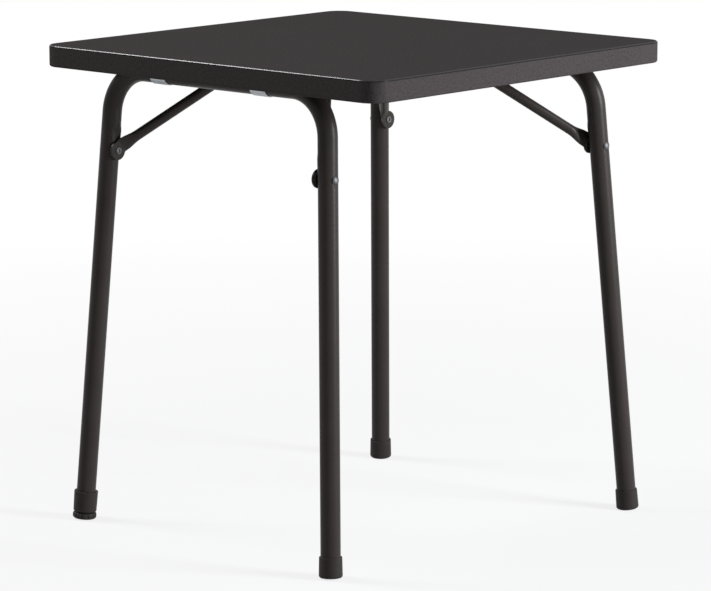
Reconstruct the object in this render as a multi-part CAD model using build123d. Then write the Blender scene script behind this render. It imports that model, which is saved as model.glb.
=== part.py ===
from build123d import *
import os
from math import asin, cos, pi, radians, sin, sqrt, tan

# A square folding card table. Two bent tube leg frames turn in saddles under a moulded top.
# Each frame is held open by a bow shaped brace that hooks into a keeper near the middle.
# Millimetres, +Z up. The origin lies on the floor under the middle of the top.
# The front frame stands on the -Y side. The rear one is the same frame turned half a turn.

# Top: one moulded board with a deep rim
table_width = 680.0
table_height = 748.0
top_corner_radius = 30.0
board_thickness = 22.0
rim_depth = 33.2
rim_wall = 14.0
rim_draft = 6.0
top_edge_radius = 3.0
rim_foot_radius = 3.5
recess_edge_radius = 2.5
recess_corner_radius = 20.0

# Leg frames: one round steel tube each, bent to a U and hung from its crossbar
tube_diameter = 30.0
tube_wall = 2.0
crossbar_gap = 0.3
hinge_inset = 79.3
crossbar_end_inset = 121.0
frame_shift = 41.0
frame_bend_radius = 70.0
side_splay = 3.35
front_tilt = 3.26
rear_tilt = 4.22

# Saddles: steel straps that hold a crossbar against the board
strap_thickness = 2.0
strap_width = 31.0
strap_clearance = 0.08
strap_flange = 17.0
strap_bend_radius = 2.5
strap_corner_radius = 5.0
outer_saddle_inset = 105.0
inner_saddle_inset = 126.0

# Wood screws
screw_shank_diameter = 4.2
screw_head_diameter = 8.2
screw_crown_diameter = 4.6
screw_head_height = 2.4
screw_bite = 13.0
screw_point_length = 4.0
screw_clearance = 0.1

# Braces: thinner tube bent to a bow, its ends pressed flat and riveted to the legs
brace_diameter = 16.0
brace_wall = 2.0
brace_pivot_drop = 126.0
brace_length = 203.0
brace_arm_spread = 123.5754
brace_bend_radius = 60.0
brace_knee = 11.0
brace_knee_radius = 14.0
eye_diameter = 29.0
eye_flat_length = 16.5
eye_taper_length = 26.0
eye_edge_radius = 0.7
flat_crown_share = 0.94
taper_section_count = 4

# Brace rivets and the washers between leg and brace
rivet_diameter = 8.0
rivet_head_diameter = 13.0
rivet_crown_diameter = 5.0
rivet_head_height = 2.4
rivet_clinch_diameter = 12.0
rivet_clinch_height = 1.6
rivet_bore_diameter = 5.4
rivet_bore_depth = 6.0
rivet_clearance = 0.06
washer_diameter = 24.0
washer_thickness = 1.2
seat_depth = 0.5
seat_margin = 1.0
press_rise = 31.0
press_end_angle = 68.0
press_end_radius = 9.0
brace_side_gap = 0.1

# Keepers: hooked plates for the crosspieces of the braces, each with a leaf latch
keeper_thickness = 2.0
keeper_width = 50.0
keeper_reach = 36.0
keeper_clearance = 0.3
keeper_lip_angle = 230.0
keeper_screw_reach = 27.0
keeper_screw_half = 15.0
latch_thickness = 0.8
latch_width = 42.0
latch_bend_radius = 1.4
latch_reach = 34.0
latch_knee_reach = 18.0
latch_nose_reach = 9.6
latch_nose_drop = 7.2
latch_tip_reach = 13.0
latch_tip_drop = 12.4

# Plain foot caps
cap_top_wall = 2.15
cap_base_wall = 2.75
cap_length = 31.0
cap_floor = 5.0
cap_edge_radius = 3.5
cap_lip_radius = 0.8
cap_clearance = 0.05

# Levelling foot, on the front left leg only
collar_top_wall = 3.65
collar_base_wall = 3.05
collar_length = 32.5
collar_floor = 9.0
collar_edge_radius = 2.0
knob_overhang = 0.4
knob_height = 10.0
knob_edge_radius = 3.5
knob_gap = 1.3
knob_flute_count = 12
knob_flute_radius = 3.2
knob_flute_depth = 1.1
stud_diameter = 8.0
stud_length = 44.0
stud_in_knob = 6.5
stud_clearance = 0.07
stud_chamfer = 1.0
nut_across_flats = 13.0
nut_height = 6.5
nut_pocket_depth = 5.0

# Cutting tools run past the faces that they open by this much
overrun = 2.0

tube_radius = tube_diameter / 2
brace_radius = brace_diameter / 2
eye_thickness = 2 * brace_wall
board_underside = table_height - board_thickness
hinge_from_middle = table_width / 2 - hinge_inset
crossbar_half = table_width / 2 - crossbar_end_inset
hinge_height = board_underside - crossbar_gap - tube_radius
splay_slope = tan(radians(side_splay))
eye_offset = tube_radius - seat_depth + washer_thickness + brace_side_gap + eye_thickness / 2
brace_half = crossbar_half + brace_pivot_drop * splay_slope - eye_offset
brace_corner_half = brace_half - brace_arm_spread
cap_bore = tube_diameter + 2 * cap_clearance
cap_top_diameter = cap_bore + 2 * cap_top_wall
cap_base_diameter = cap_bore + 2 * cap_base_wall
collar_top_diameter = cap_bore + 2 * collar_top_wall
collar_base_diameter = cap_bore + 2 * collar_base_wall
knob_diameter = collar_base_diameter + 2 * knob_overhang
crosspiece_height = board_underside - keeper_thickness - keeper_clearance - brace_radius


def leg_point(side, drop, tilt):
    """A point on the axis of a front leg, at a drop from the hinge line down the frame's plane."""
    x = -frame_shift + side * (crossbar_half + drop * splay_slope)
    y = -hinge_from_middle - drop * sin(radians(tilt))
    z = hinge_height - drop * cos(radians(tilt))
    return Vector(x, y, z)


def foot_drop(base_diameter, edge_radius, tilt):
    """Drop to the middle of a round foot's base, so that its lowest edge stands on the floor."""
    lean_cosine = cos(radians(side_splay)) * cos(radians(tilt))
    lean_sine = sqrt(1 - lean_cosine ** 2)
    flat_radius = base_diameter / 2 - edge_radius
    middle_height = flat_radius * lean_sine + edge_radius * (1 - lean_cosine)
    return (hinge_height - middle_height) / cos(radians(tilt))


def along_leg(side, base_drop, height, tilt):
    """The plane square to a leg, at a height above the middle of its foot's base."""
    base = leg_point(side, base_drop, tilt)
    up = (leg_point(side, 0, tilt) - base).normalized()
    return Plane(origin=base + up * height, x_dir=Vector(0, 1, 0).cross(up), z_dir=up)


def across_leg(side, distance, tilt):
    """The plane square to X that lies this far inwards from the leg's axis, at the brace pivot."""
    pivot = leg_point(side, brace_pivot_drop, tilt)
    inward = Vector(-side, 0, 0)
    return Plane(origin=pivot + inward * distance, x_dir=(0, 1, 0), z_dir=inward)


def half_turn(shape):
    """The same piece on the rear side."""
    return Rot(0, 0, 180) * shape


def turned(outline):
    """A solid of revolution about Z, from pairs of radius and height."""
    return revolve(make_face(Plane.XZ * Polyline(*outline, close=True)), Axis.Z)


def swept_tube(path, radius, wall):
    """A round tube along a path, open at both ends."""
    start = Plane(origin=path @ 0, z_dir=path % 0)
    outer = sweep(start * Circle(radius), path=path)
    inner = sweep(start * Circle(radius - wall), path=path)
    return outer - inner


def rounded_square(width, radius, height):
    return Plane.XY.offset(height) * RectangleRounded(width, width, radius)


def recess():
    """The drafted pocket under the board, inside the rim."""
    rim_low = table_height - rim_depth
    mouth = table_width - 2 * rim_wall
    pocket_floor = mouth - 2 * (rim_depth - board_thickness) * tan(radians(rim_draft))
    low = rounded_square(mouth, recess_corner_radius, rim_low)
    high = rounded_square(pocket_floor, recess_corner_radius, board_underside)
    return loft([low, high]) + extrude(low, -overrun)


def saddle_centres():
    """Where the middles of the front saddles lie along X."""
    outer = crossbar_half - outer_saddle_inset
    inner = crossbar_half - inner_saddle_inset
    return [-frame_shift - outer, -frame_shift + inner]


def strap_screw_reach():
    return tube_radius + strap_clearance + strap_thickness + strap_flange / 2


def saddle_screw_places():
    places = []
    for x in saddle_centres():
        for side in (-1, 1):
            y = -hinge_from_middle + side * strap_screw_reach()
            places += [(x, y), (-x, -y)]
    return places


def keeper_screw_places():
    places = []
    for tilt, turn in ((front_tilt, 1), (rear_tilt, -1)):
        y = crosspiece_place(tilt).Y + keeper_screw_reach
        for side in (-1, 1):
            x = -frame_shift + side * keeper_screw_half
            places.append((turn * x, turn * y))
    return places


def is_outer(edge):
    """Whether an edge of the rim's foot runs round the outside of the table."""
    middle = edge.center()
    return max(abs(middle.X), abs(middle.Y)) > table_width / 2 - rim_wall / 2


def table_top():
    rim_low = table_height - rim_depth
    board = extrude(rounded_square(table_width, top_corner_radius, rim_low), rim_depth)
    board = fillet(board.edges().group_by(Axis.Z)[-1], top_edge_radius)
    board = board - recess()
    foot_edges = board.edges().group_by(Axis.Z)[0]
    board = fillet([edge for edge in foot_edges if is_outer(edge)], rim_foot_radius)
    foot_edges = board.edges().group_by(Axis.Z)[0]
    board = fillet([edge for edge in foot_edges if not is_outer(edge)], recess_edge_radius)
    hole = Cylinder(screw_shank_diameter / 2 + screw_clearance, 2 * (screw_bite + screw_clearance))
    for x, y in saddle_screw_places() + keeper_screw_places():
        board = board - Pos(x, y, board_underside) * hole
    return board


def saddle(x):
    """A strap bent round the crossbar, with a flange each side screwed to the board."""
    inner = tube_radius + strap_clearance
    outer = inner + strap_thickness
    depth = board_underside - hinge_height
    reach = outer + strap_flange
    flange = Pos(0, -strap_thickness / 2) * Rectangle(2 * reach, strap_thickness)
    cheeks = Pos(0, -depth / 2) * Rectangle(2 * outer, depth)
    profile = flange + cheeks + Pos(0, -depth) * Circle(outer)
    knees = profile.vertices().filter_by(lambda v: abs(v.Y + strap_thickness) < strap_clearance)
    knees = knees.filter_by(lambda v: abs(v.X) < outer + strap_clearance)
    profile = fillet(knees, strap_bend_radius)
    hollow = Pos(0, (overrun - depth) / 2) * Rectangle(2 * inner, depth + overrun)
    profile = profile - hollow - Pos(0, -depth) * Circle(inner)
    origin = (x, -hinge_from_middle, board_underside)
    section = Plane(origin=origin, x_dir=(0, 1, 0), z_dir=(1, 0, 0))
    strap = extrude(section * profile, strap_width / 2, both=True)
    corners = strap.edges().filter_by(Axis.Z).group_by(Axis.Y)
    strap = fillet(corners[0] + corners[-1], strap_corner_radius)
    hole = Cylinder(screw_shank_diameter / 2 + screw_clearance, 2 * (strap_thickness + overrun))
    for side in (-1, 1):
        y = -hinge_from_middle + side * strap_screw_reach()
        strap = strap - Pos(x, y, board_underside) * hole
    return strap


def wood_screw(x, y, seat_height):
    """A pan head screw that points up, the flat of its head at the seat height."""
    shank = screw_shank_diameter / 2
    head = screw_head_diameter / 2
    crown = screw_crown_diameter / 2
    length = board_underside - seat_height + screw_bite
    outline = [(0, -screw_head_height), (crown, -screw_head_height), (head, -screw_head_height / 2)]
    outline += [(head, 0), (shank, 0), (shank, length - screw_point_length), (0, length)]
    return Pos(x, y, seat_height) * turned(outline)


def saddle_screws():
    seat = board_underside - strap_thickness
    return Compound([wood_screw(x, y, seat) for x, y in saddle_screw_places()])


def keeper_screws():
    seat = board_underside - keeper_thickness - latch_thickness
    return Compound([wood_screw(x, y, seat) for x, y in keeper_screw_places()])


def frame_plane(tilt):
    """The plane of the front frame: X along the crossbar, Y up the frame."""
    origin = Vector(-frame_shift, -hinge_from_middle, hinge_height)
    return Plane(origin=origin, x_dir=(1, 0, 0), z_dir=(0, -cos(radians(tilt)), sin(radians(tilt))))


def plain_end_drop(tilt):
    """Drop of a tube end that stands on the floor of a plain cap."""
    base = foot_drop(cap_base_diameter, cap_edge_radius, tilt)
    return base - cap_floor * cos(radians(side_splay))


def levelling_end_drop(tilt):
    """Drop of the tube end that stands on the floor of the levelling collar."""
    base = foot_drop(knob_diameter, knob_edge_radius, tilt)
    return base - (knob_height + knob_gap + collar_floor) * cos(radians(side_splay))


def pressed_away(side, tilt, flat, rise):
    """What a press pushes out of a leg's inner side: a flat square to X, with a sloped upper end."""
    low = -eye_diameter / 2 - seat_margin
    high = rise + (tube_diameter - flat) * tan(radians(press_end_angle))
    outline = Polyline((flat, low), (flat, rise), (tube_diameter, high), (tube_diameter, low), close=True)
    face = make_face(outline)
    corner = face.vertices().sort_by(lambda v: abs(v.X - flat) + abs(v.Y - rise))[0]
    face = fillet(corner, press_end_radius)
    pivot = leg_point(side, brace_pivot_drop, tilt)
    section = Plane(origin=pivot, x_dir=(-side, 0, 0), z_dir=(0, side, 0))
    return extrude(section * face, tube_diameter, both=True)


def pressed_tube(path, tilt):
    """The leg frame's tube, its wall pushed in where the eyes of the brace lie against the legs."""
    start = Plane(origin=path @ 0, z_dir=path % 0)
    outer = sweep(start * Circle(tube_radius), path=path)
    inner = sweep(start * Circle(tube_radius - tube_wall), path=path)
    flat = tube_radius - seat_depth
    wall_rise = press_rise + tube_wall * tan(radians((90 - press_end_angle) / 2))
    for side in (-1, 1):
        outer = outer - pressed_away(side, tilt, flat, press_rise)
        inner = inner - pressed_away(side, tilt, flat - tube_wall, wall_rise)
    return outer - inner


def leg_frame(tilt, left_drop, right_drop):
    """The bent tube, with a pressed flat, a seat and a rivet hole in each leg."""
    left_end = (-crossbar_half - left_drop * splay_slope, -left_drop)
    right_end = (crossbar_half + right_drop * splay_slope, -right_drop)
    corners = [(-crossbar_half, 0), (crossbar_half, 0)]
    path = frame_plane(tilt) * FilletPolyline(left_end, *corners, right_end, radius=frame_bend_radius)
    frame = pressed_tube(path, tilt)
    flat = tube_radius - seat_depth
    for side in (-1, 1):
        head_seat = across_leg(side, -flat, tilt) * Circle(rivet_head_diameter / 2 + seat_margin)
        hole = across_leg(side, 0, tilt) * Circle(rivet_diameter / 2 + rivet_clearance)
        frame = frame - extrude(head_seat, -seat_depth - overrun)
        frame = frame - extrude(hole, tube_radius + overrun, both=True)
    return frame


def washer(side, tilt):
    ring = Circle(washer_diameter / 2) - Circle(rivet_diameter / 2 + rivet_clearance)
    return extrude(across_leg(side, tube_radius - seat_depth, tilt) * ring, washer_thickness)


def rivet(side, tilt):
    """Domed head on the outside of the leg, hollow end rolled over the eye of the brace."""
    shank = rivet_diameter / 2
    head = rivet_head_diameter / 2
    crown = rivet_crown_diameter / 2
    clinch = rivet_clinch_diameter / 2
    bore = rivet_bore_diameter / 2
    length = tube_radius - seat_depth + eye_offset + eye_thickness / 2 + brace_side_gap
    lip = (bore + clinch) / 2
    outline = [(0, -rivet_head_height), (crown, -rivet_head_height), (head, -rivet_head_height / 3)]
    outline += [(head, 0), (shank, 0), (shank, length), (clinch, length)]
    outline += [(clinch, length + rivet_clinch_height / 2), (lip, length + rivet_clinch_height)]
    outline += [(bore, length), (bore, length - rivet_bore_depth), (0, length - rivet_bore_depth)]
    return across_leg(side, seat_depth - tube_radius, tilt) * turned(outline)


def crosspiece_place(tilt):
    """The middle of the brace's crosspiece on the front side, when the table stands."""
    pivot = leg_point(1, brace_pivot_drop, tilt)
    rise = crosspiece_height - pivot.Z
    return Vector(-frame_shift, pivot.Y + sqrt(brace_length ** 2 - rise ** 2), crosspiece_height)


def brace_plane(tilt):
    """The plane of the front brace: X along its crosspiece, Y from its pivots to its crosspiece."""
    pivot = leg_point(1, brace_pivot_drop, tilt)
    angle = asin((crosspiece_height - pivot.Z) / brace_length)
    origin = Vector(-frame_shift, pivot.Y, pivot.Z)
    return Plane(origin=origin, x_dir=(1, 0, 0), z_dir=(0, -sin(angle), cos(angle)))


def arm_point(distance):
    """A point on the right arm's axis, at a distance from the pivot along the eye and the arm."""
    knee = Vector(brace_half, brace_knee)
    along = (Vector(brace_corner_half, brace_length) - knee).normalized()
    return knee + along * (distance - brace_knee)


def arm_section(share):
    """The arm's outline over its taper: pressed flat at share 0, round again at share 1."""
    ease = share * share * (3 - 2 * share)
    flat_width = pi * brace_diameter / 4
    flat_height = flat_crown_share * eye_thickness / 2
    width = flat_width + (brace_radius - flat_width) * ease
    height = flat_height + (brace_radius - flat_height) * ease
    origin = arm_point(eye_flat_length + share * eye_taper_length)
    along = (arm_point(brace_length) - arm_point(brace_knee)).normalized()
    return Plane(origin=origin, x_dir=(0, 0, 1), z_dir=along) * Ellipse(width, height)


def arm_end():
    """The right end of the brace: a coined eye that runs through a knee into the round tube."""
    pivot = (brace_half, 0)
    knee = (brace_half, brace_knee)
    path = FilletPolyline(pivot, knee, arm_point(eye_flat_length), radius=brace_knee_radius)
    start = Plane(origin=path @ 0, x_dir=(0, 0, 1), z_dir=path % 0)
    flat = sweep(start * Ellipse(pi * brace_diameter / 4, flat_crown_share * eye_thickness / 2), path=path)
    steps = taper_section_count - 1
    taper = loft([arm_section(step / steps) for step in range(taper_section_count)])
    across = Plane(origin=(brace_half, 0, 0), z_dir=(1, 0, 0))
    eye = extrude(across * Circle(eye_diameter / 2), eye_thickness / 2, both=True)
    eye = fillet(eye.edges().filter_by(GeomType.CIRCLE), eye_edge_radius)
    hole = across * Circle(rivet_diameter / 2 + rivet_clearance)
    return flat + taper + eye - extrude(hole, eye_thickness + overrun, both=True)


def brace(tilt):
    """A bow of round tube with a flattened eye at each end."""
    end = arm_point(eye_flat_length + eye_taper_length)
    corners = [(-brace_corner_half, brace_length), (brace_corner_half, brace_length)]
    path = FilletPolyline((-end.X, end.Y), *corners, (end.X, end.Y), radius=brace_bend_radius)
    right = arm_end()
    bow = swept_tube(path, brace_radius, brace_wall) + right + mirror(right, Plane.YZ)
    return brace_plane(tilt) * bow


def keeper_section(tilt):
    """A section plane through a keeper, with its origin on the crosspiece's axis."""
    return Plane(origin=crosspiece_place(tilt), x_dir=(0, 1, 0), z_dir=(1, 0, 0))


def screwed_down(plate, tilt):
    """The same plate with clear holes for the keeper's screws."""
    hole = Cylinder(screw_shank_diameter / 2 + screw_clearance, 2 * (keeper_thickness + overrun))
    place = crosspiece_place(tilt)
    y = place.Y + keeper_screw_reach
    for side in (-1, 1):
        x = place.X + side * keeper_screw_half
        plate = plate - Pos(x, y, board_underside - keeper_thickness) * hole
    return plate


def keeper(tilt):
    """A plate under the board whose outer end is rolled into a hook for the crosspiece."""
    inner = brace_radius + keeper_clearance
    outer = inner + keeper_thickness
    sweep_angle = keeper_lip_angle - 90
    inner_arc = CenterArc((0, 0), inner, 90, sweep_angle)
    outer_arc = CenterArc((0, 0), outer, 90, sweep_angle)
    sides = Line(inner_arc @ 0, outer_arc @ 0) + Line(inner_arc @ 1, outer_arc @ 1)
    hook = make_face(inner_arc + outer_arc + sides)
    align = (Align.MIN, Align.MIN)
    plate = Pos(0, inner) * Rectangle(keeper_reach, keeper_thickness, align=align)
    body = extrude(keeper_section(tilt) * (hook + plate), keeper_width / 2, both=True)
    return screwed_down(body, tilt)


def latch(tilt):
    """A spring steel leaf under the keeper, its nose bent down inside the crosspiece."""
    top = brace_radius + keeper_clearance - latch_thickness / 2
    points = [(latch_reach, top), (latch_knee_reach, top)]
    points += [(latch_nose_reach, top - latch_nose_drop), (latch_tip_reach, top - latch_tip_drop)]
    path = FilletPolyline(*points, radius=latch_bend_radius)
    start = Plane(origin=path @ 0, x_dir=(0, 0, 1), z_dir=path % 0)
    leaf = sweep(start * Rectangle(latch_width, latch_thickness), path=path)
    return screwed_down(keeper_section(tilt) * leaf, tilt)


def sleeve(top_diameter, base_diameter, length, floor, edge_radius):
    """A tapered cup for a tube end, standing on its base."""
    standing = (Align.CENTER, Align.CENTER, Align.MIN)
    shell = Cone(base_diameter / 2, top_diameter / 2, length, align=standing)
    shell = fillet(shell.edges().group_by(Axis.Z)[0], edge_radius)
    shell = fillet(shell.edges().group_by(Axis.Z)[-1], cap_lip_radius)
    return shell - Pos(0, 0, floor) * Cylinder(tube_radius + cap_clearance, length, align=standing)


def foot_cap(side, tilt):
    cap = sleeve(cap_top_diameter, cap_base_diameter, cap_length, cap_floor, cap_edge_radius)
    return along_leg(side, foot_drop(cap_base_diameter, cap_edge_radius, tilt), 0, tilt) * cap


def levelling_plane(height):
    """The plane square to the front left leg at a height above the knob's base."""
    drop = foot_drop(knob_diameter, knob_edge_radius, front_tilt)
    return along_leg(-1, drop, height, front_tilt)


def levelling_collar():
    """A cup on the tube end with a hexagon pocket for the nut and a hole for the stud."""
    cup = sleeve(collar_top_diameter, collar_base_diameter, collar_length, collar_floor, collar_edge_radius)
    hole = Cylinder(stud_diameter / 2 + stud_clearance, 2 * (collar_floor + overrun))
    hexagon = RegularPolygon(nut_across_flats / 2 + cap_clearance, 6, major_radius=False)
    pocket = extrude(hexagon, nut_pocket_depth + overrun)
    cup = cup - hole - Pos(0, 0, collar_floor - nut_pocket_depth) * pocket
    return levelling_plane(knob_height + knob_gap) * cup


def levelling_nut():
    hexagon = RegularPolygon(nut_across_flats / 2, 6, major_radius=False)
    nut = extrude(hexagon - Circle(stud_diameter / 2 + stud_clearance), nut_height)
    return levelling_plane(knob_height + knob_gap + collar_floor - nut_pocket_depth) * nut


def levelling_stud():
    stud = Cylinder(stud_diameter / 2, stud_length, align=(Align.CENTER, Align.CENTER, Align.MIN))
    stud = chamfer(stud.edges().filter_by(GeomType.CIRCLE), stud_chamfer)
    return levelling_plane(knob_height - stud_in_knob) * stud


def levelling_knob():
    """A fluted disc that the foot is turned by, bored for the stud."""
    standing = (Align.CENTER, Align.CENTER, Align.MIN)
    disc = Cylinder(knob_diameter / 2, knob_height, align=standing)
    disc = fillet(disc.edges().filter_by(GeomType.CIRCLE), knob_edge_radius)
    flute = Cylinder(knob_flute_radius, 2 * (knob_height + overrun))
    reach = knob_diameter / 2 + knob_flute_radius - knob_flute_depth
    for index in range(knob_flute_count):
        disc = disc - Rot(0, 0, index * 360 / knob_flute_count) * Pos(reach, 0, 0) * flute
    bore = Cylinder(stud_diameter / 2 + stud_clearance, knob_height, align=standing)
    disc = disc - Pos(0, 0, knob_height - stud_in_knob) * bore
    return levelling_plane(0) * disc


def pair(make, tilt):
    """The left and the right piece of one frame, as separate solids."""
    return Compound([make(side, tilt) for side in (-1, 1)])


front_outer, front_inner = saddle_centres()
plain_front = plain_end_drop(front_tilt)
plain_rear = plain_end_drop(rear_tilt)
nodes = {
    "table_top": table_top(),
    "saddle_front_left": saddle(front_outer),
    "saddle_front_right": saddle(front_inner),
    "saddle_rear_left": half_turn(saddle(front_inner)),
    "saddle_rear_right": half_turn(saddle(front_outer)),
    "saddle_screws": saddle_screws(),
    "front_leg_frame": leg_frame(front_tilt, levelling_end_drop(front_tilt), plain_front),
    "rear_leg_frame": half_turn(leg_frame(rear_tilt, plain_rear, plain_rear)),
    "foot_cap_front_right": foot_cap(1, front_tilt),
    "foot_cap_rear_left": half_turn(foot_cap(1, rear_tilt)),
    "foot_cap_rear_right": half_turn(foot_cap(-1, rear_tilt)),
    "levelling_collar": levelling_collar(),
    "levelling_nut": levelling_nut(),
    "levelling_stud": levelling_stud(),
    "levelling_knob": levelling_knob(),
    "front_brace": brace(front_tilt),
    "rear_brace": half_turn(brace(rear_tilt)),
    "front_brace_washers": pair(washer, front_tilt),
    "rear_brace_washers": half_turn(pair(washer, rear_tilt)),
    "front_brace_rivets": pair(rivet, front_tilt),
    "rear_brace_rivets": half_turn(pair(rivet, rear_tilt)),
    "front_brace_keeper": keeper(front_tilt),
    "rear_brace_keeper": half_turn(keeper(rear_tilt)),
    "front_brace_latch": latch(front_tilt),
    "rear_brace_latch": half_turn(latch(rear_tilt)),
    "keeper_screws": keeper_screws(),
}

os.makedirs("parts", exist_ok=True)
for name, shape in nodes.items():
    export_step(shape, f"parts/{name}.step")
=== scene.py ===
# %% [markdown]
# # Dressing a folding card table
#
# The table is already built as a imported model: every tube, strap, rivet and foot has its place
# and rides on a body that can move. This lesson gives it its looks. It makes finishes for the
# pieces that stay, builds finer copies of a few pieces, and sets up a plain studio.
# All lengths are in metres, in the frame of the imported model: +Z up, the floor at zero.

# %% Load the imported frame
from math import cos, degrees, pi, radians, sin, sqrt, tan

import bmesh
import bpy
from mathutils import Matrix, Vector


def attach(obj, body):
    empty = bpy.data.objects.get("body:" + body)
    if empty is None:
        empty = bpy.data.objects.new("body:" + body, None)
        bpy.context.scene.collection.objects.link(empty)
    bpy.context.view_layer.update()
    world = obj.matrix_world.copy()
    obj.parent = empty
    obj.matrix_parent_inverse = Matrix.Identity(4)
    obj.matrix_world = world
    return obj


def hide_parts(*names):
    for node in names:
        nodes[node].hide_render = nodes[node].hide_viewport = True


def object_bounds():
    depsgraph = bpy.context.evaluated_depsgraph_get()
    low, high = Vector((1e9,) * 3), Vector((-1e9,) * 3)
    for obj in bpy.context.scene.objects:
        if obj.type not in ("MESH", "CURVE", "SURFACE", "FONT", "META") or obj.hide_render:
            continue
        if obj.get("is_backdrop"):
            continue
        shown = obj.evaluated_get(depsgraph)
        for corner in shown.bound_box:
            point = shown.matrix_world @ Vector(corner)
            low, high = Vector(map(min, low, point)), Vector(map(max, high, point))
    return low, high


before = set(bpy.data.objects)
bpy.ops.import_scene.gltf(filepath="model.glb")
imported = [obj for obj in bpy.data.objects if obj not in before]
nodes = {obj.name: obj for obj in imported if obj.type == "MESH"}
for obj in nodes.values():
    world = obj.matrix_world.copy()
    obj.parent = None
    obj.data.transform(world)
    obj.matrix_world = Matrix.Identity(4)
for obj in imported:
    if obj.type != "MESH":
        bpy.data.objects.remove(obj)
cad_low, cad_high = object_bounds()
print("nodes:", len(nodes), "box:", [round(value, 4) for value in (*cad_low, *cad_high)])

# %% [markdown]
# ## A short way to write node trees
#
# Materials and Geometry Nodes are both trees of nodes. A few helpers add a node, set its options
# and fill or join its inputs, so that each tree below reads from top to bottom. One more makes a
# node group with named sockets, which several materials can then share.

# %% Helpers that add one node
def add(tree, kind, inputs=None, **options):
    """One new node, its options set and its inputs given a value or joined to a socket."""
    node = tree.nodes.new(kind)
    for key, value in options.items():
        setattr(node, key, value)
    for key, value in (inputs or {}).items():
        if isinstance(value, bpy.types.NodeSocket):
            tree.links.new(value, node.inputs[key])
        else:
            node.inputs[key].default_value = value
    return node


def made(tree, kind, inputs=None, **options):
    """The first output of one new node."""
    return add(tree, kind, inputs, **options).outputs[0]


def math(tree, operation, first, second=0.0, third=0.0):
    """The result of one arithmetic node."""
    return made(tree, "ShaderNodeMath", {0: first, 1: second, 2: third}, operation=operation)


def vectors(tree, operation, *given):
    """The outputs of one vector arithmetic node."""
    return add(tree, "ShaderNodeVectorMath", dict(enumerate(given)), operation=operation).outputs


def ranged(tree, value, low, high, start=0.0, end=1.0):
    """A value that goes from start to end while the given one goes from low to high."""
    limits = {"Value": value, "From Min": low, "From Max": high, "To Min": start, "To Max": end}
    return made(tree, "ShaderNodeMapRange", limits)


print("node helpers ready")

# %% Helpers for groups and colours
SOCKET_KINDS = {
    float: "NodeSocketFloat",
    int: "NodeSocketInt",
    tuple: "NodeSocketVector",
    "geometry": "NodeSocketGeometry",
    "material": "NodeSocketMaterial",
    "object": "NodeSocketObject",
}


def new_group(name, kind, inputs, outputs):
    """A node group with named inputs and outputs. Gives the tree, its inputs and its output node."""
    tree = bpy.data.node_groups.new(name, kind)
    for label, value in inputs.items():
        socket_kind = SOCKET_KINDS[value if isinstance(value, str) else type(value)]
        socket = tree.interface.new_socket(name=label, in_out="INPUT", socket_type=socket_kind)
        if not isinstance(value, str):
            socket.default_value = value
    for label, value in outputs.items():
        tree.interface.new_socket(name=label, in_out="OUTPUT", socket_type=SOCKET_KINDS[value])
    entry = tree.nodes.new("NodeGroupInput")
    return tree, entry.outputs, tree.nodes.new("NodeGroupOutput")


def new_effect(name, inputs, *outputs):
    """A shader group, its inputs and output node, and the place and scale its textures need."""
    given = {"Vector": (0.0, 0.0, 0.0), **inputs}
    tree, entry, result = new_group(name, "ShaderNodeTree", given, dict.fromkeys(outputs, float))
    # The first input says how large the things are that the group draws.
    density = math(tree, "DIVIDE", 1.0, entry[next(iter(inputs))])
    return tree, entry, result, {"Vector": entry["Vector"], "Scale": density}


def noise(tree, texture, **settings):
    """The height of one noise texture."""
    return made(tree, "ShaderNodeTexNoise", {**texture, **settings})


def tone(red, green, blue):
    """A colour as a screen shows it, from 0 to 255, turned into the linear light that shaders use."""
    shares = [value / 255 for value in (red, green, blue)]
    linear = [s / 12.92 if s <= 0.04045 else ((s + 0.055) / 1.055) ** 2.4 for s in shares]
    return (*linear, 1.0)


print("mid grey is", [round(value, 3) for value in tone(128, 128, 128)])

# %% [markdown]
# ## Effects for the finishes
#
# Real surfaces are never even. Moulded plastic has a fine grain, paint dries with a faint ripple,
# zinc has cloudy spangles, hands leave duller patches, and edges are rubbed bright. Each effect
# could be typed into every material, but as a group it is written once and given its own values
# wherever it is used. A group here puts out only masks and heights; the shader stays outside it.

# %% Moulded grain: small soft cells, as left by an etched mould
CELL_SHARE = 0.7

grain_tree, _, result, texture = new_effect("Moulded grain", {"Cell Size": 0.001}, "Height", "Speckle")
soft_cells = {**texture, "Smoothness": 0.7}
cells = made(grain_tree, "ShaderNodeTexVoronoi", soft_cells, feature="SMOOTH_F1")
fine = noise(grain_tree, texture, Detail=3.0)
hills = math(grain_tree, "MULTIPLY_ADD", cells, CELL_SHARE, fine)
grain_tree.links.new(hills, result.inputs["Height"])
grain_tree.links.new(fine, result.inputs["Speckle"])
print("group:", grain_tree.name)

# %% Paint ripple: the slow waves of a coat that was sprayed and baked
ripple_tree, _, result, texture = new_effect("Paint ripple", {"Wave Size": 0.004}, "Height")
ripple_tree.links.new(noise(ripple_tree, texture, Detail=1.0), result.inputs["Height"])
print("group:", ripple_tree.name)

# %% Handled patches: large soft areas where hands and cloths have passed
MIDDLE = 0.5

settings = {"Patch Size": 0.08, "Contrast": 0.5}
handled_tree, entry, result, texture = new_effect("Handled patches", settings, "Mask")
clouds = noise(handled_tree, texture, Detail=5.0, Roughness=0.6)
spread = math(handled_tree, "SUBTRACT", clouds, MIDDLE)
centred = math(handled_tree, "MULTIPLY_ADD", spread, entry["Contrast"], MIDDLE)
handled_tree.links.new(centred, result.inputs["Mask"])
print("group:", handled_tree.name)

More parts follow.
